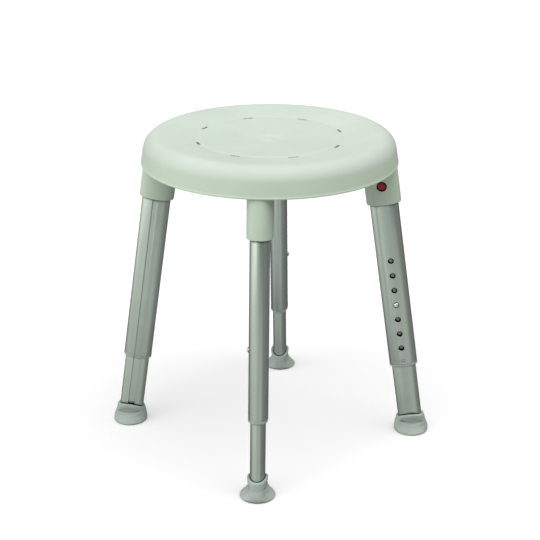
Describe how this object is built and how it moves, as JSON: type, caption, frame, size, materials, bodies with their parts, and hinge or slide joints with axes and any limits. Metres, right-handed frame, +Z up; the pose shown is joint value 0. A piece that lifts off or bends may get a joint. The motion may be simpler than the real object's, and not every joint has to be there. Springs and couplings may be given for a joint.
{
  "type": "shower stool",
  "caption": "Round moulded shower stool with drain slots in a dished seat and splayed oval tube legs that pull out and adjust in height by snap buttons.",
  "frame": {"origin": "on the floor, at the middle of the four feet, under the centre of the seat", "axes": "+Z up along the seat's axis, +X towards leg 1; legs 1 to 4 stand on +X, +Y, -X and -Y"},
  "size_m": [0.5204, 0.5204, 0.4988],
  "materials": {
    "seat_plastic": "fine-textured moulded polypropylene, pale grey-green",
    "aluminium": "satin anodised tube",
    "bush_plastic": "moulded nylon, light grey",
    "foot_rubber": "soft matt rubber, light grey",
    "red_plastic": "deep red moulded plastic",
    "steel": "polished stainless steel",
    "spring_steel": "rolled spring steel strip"
  },
  "bodies": {
    "seat": {"seat": "seat_plastic"},
    "leg_1": {"outer_tube_1": "aluminium", "end_bush_1": "bush_plastic", "lock_spring_1": "spring_steel"},
    "lower_leg_1": {"inner_tube_1": "aluminium", "top_glide_1": "bush_plastic", "foot_1": "foot_rubber", "height_spring_1": "spring_steel"},
    "height_button_1": {"height_button_1": "steel"},
    "lock_button_1": {"lock_button_1": "red_plastic"},
    "leg_2": {"outer_tube_2": "aluminium", "end_bush_2": "bush_plastic", "lock_spring_2": "spring_steel"},
    "lower_leg_2": {"inner_tube_2": "aluminium", "top_glide_2": "bush_plastic", "foot_2": "foot_rubber", "height_spring_2": "spring_steel"},
    "height_button_2": {"height_button_2": "steel"},
    "lock_button_2": {"lock_button_2": "red_plastic"},
    "leg_3": {"outer_tube_3": "aluminium", "end_bush_3": "bush_plastic", "lock_spring_3": "spring_steel"},
    "lower_leg_3": {"inner_tube_3": "aluminium", "top_glide_3": "bush_plastic", "foot_3": "foot_rubber", "height_spring_3": "spring_steel"},
    "height_button_3": {"height_button_3": "steel"},
    "lock_button_3": {"lock_button_3": "red_plastic"},
    "leg_4": {"outer_tube_4": "aluminium", "end_bush_4": "bush_plastic", "lock_spring_4": "spring_steel"},
    "lower_leg_4": {"inner_tube_4": "aluminium", "top_glide_4": "bush_plastic", "foot_4": "foot_rubber", "height_spring_4": "spring_steel"},
    "height_button_4": {"height_button_4": "steel"},
    "lock_button_4": {"lock_button_4": "red_plastic"}
  },
  "joints": [
    {"name": "leg_release_1", "type": "slide", "parent": "seat", "child": "leg_1", "axis": [0.1435, 0, -0.9897], "range_m": [0, 0.24]},
    {"name": "height_1", "type": "slide", "parent": "leg_1", "child": "lower_leg_1", "axis": [0.1435, 0, -0.9897], "range_m": [-0.075, 0.075]},
    {"name": "height_press_1", "type": "slide", "parent": "lower_leg_1", "child": "height_button_1", "axis": [0, 1, 0], "range_m": [0, 0.005], "stiffness_N_per_m": 1500, "springref_m": -0.006, "deforming": ["height_spring_1"]},
    {"name": "lock_press_1", "type": "slide", "parent": "leg_1", "child": "lock_button_1", "axis": [0, 1, 0], "range_m": [0, 0.006], "stiffness_N_per_m": 1500, "springref_m": -0.006, "deforming": ["lock_spring_1"]},
    {"name": "leg_release_2", "type": "slide", "parent": "seat", "child": "leg_2", "axis": [0, 0.1435, -0.9897], "range_m": [0, 0.24]},
    {"name": "height_2", "type": "slide", "parent": "leg_2", "child": "lower_leg_2", "axis": [0, 0.1435, -0.9897], "range_m": [-0.075, 0.075]},
    {"name": "height_press_2", "type": "slide", "parent": "lower_leg_2", "child": "height_button_2", "axis": [-1, 0, 0], "range_m": [0, 0.005], "stiffness_N_per_m": 1500, "springref_m": -0.006, "deforming": ["height_spring_2"]},
    {"name": "lock_press_2", "type": "slide", "parent": "leg_2", "child": "lock_button_2", "axis": [-1, 0, 0], "range_m": [0, 0.006], "stiffness_N_per_m": 1500, "springref_m": -0.006, "deforming": ["lock_spring_2"]},
    {"name": "leg_release_3", "type": "slide", "parent": "seat", "child": "leg_3", "axis": [-0.1435, 0, -0.9897], "range_m": [0, 0.24]},
    {"name": "height_3", "type": "slide", "parent": "leg_3", "child": "lower_leg_3", "axis": [-0.1435, 0, -0.9897], "range_m": [-0.075, 0.075]},
    {"name": "height_press_3", "type": "slide", "parent": "lower_leg_3", "child": "height_button_3", "axis": [0, -1, 0], "range_m": [0, 0.005], "stiffness_N_per_m": 1500, "springref_m": -0.006, "deforming": ["height_spring_3"]},
    {"name": "lock_press_3", "type": "slide", "parent": "leg_3", "child": "lock_button_3", "axis": [0, -1, 0], "range_m": [0, 0.006], "stiffness_N_per_m": 1500, "springref_m": -0.006, "deforming": ["lock_spring_3"]},
    {"name": "leg_release_4", "type": "slide", "parent": "seat", "child": "leg_4", "axis": [0, -0.1435, -0.9897], "range_m": [0, 0.24]},
    {"name": "height_4", "type": "slide", "parent": "leg_4", "child": "lower_leg_4", "axis": [0, -0.1435, -0.9897], "range_m": [-0.075, 0.075]},
    {"name": "height_press_4", "type": "slide", "parent": "lower_leg_4", "child": "height_button_4", "axis": [1, 0, 0], "range_m": [0, 0.005], "stiffness_N_per_m": 1500, "springref_m": -0.006, "deforming": ["height_spring_4"]},
    {"name": "lock_press_4", "type": "slide", "parent": "leg_4", "child": "lock_button_4", "axis": [1, 0, 0], "range_m": [0, 0.006], "stiffness_N_per_m": 1500, "springref_m": -0.006, "deforming": ["lock_spring_4"]}
  ]
}
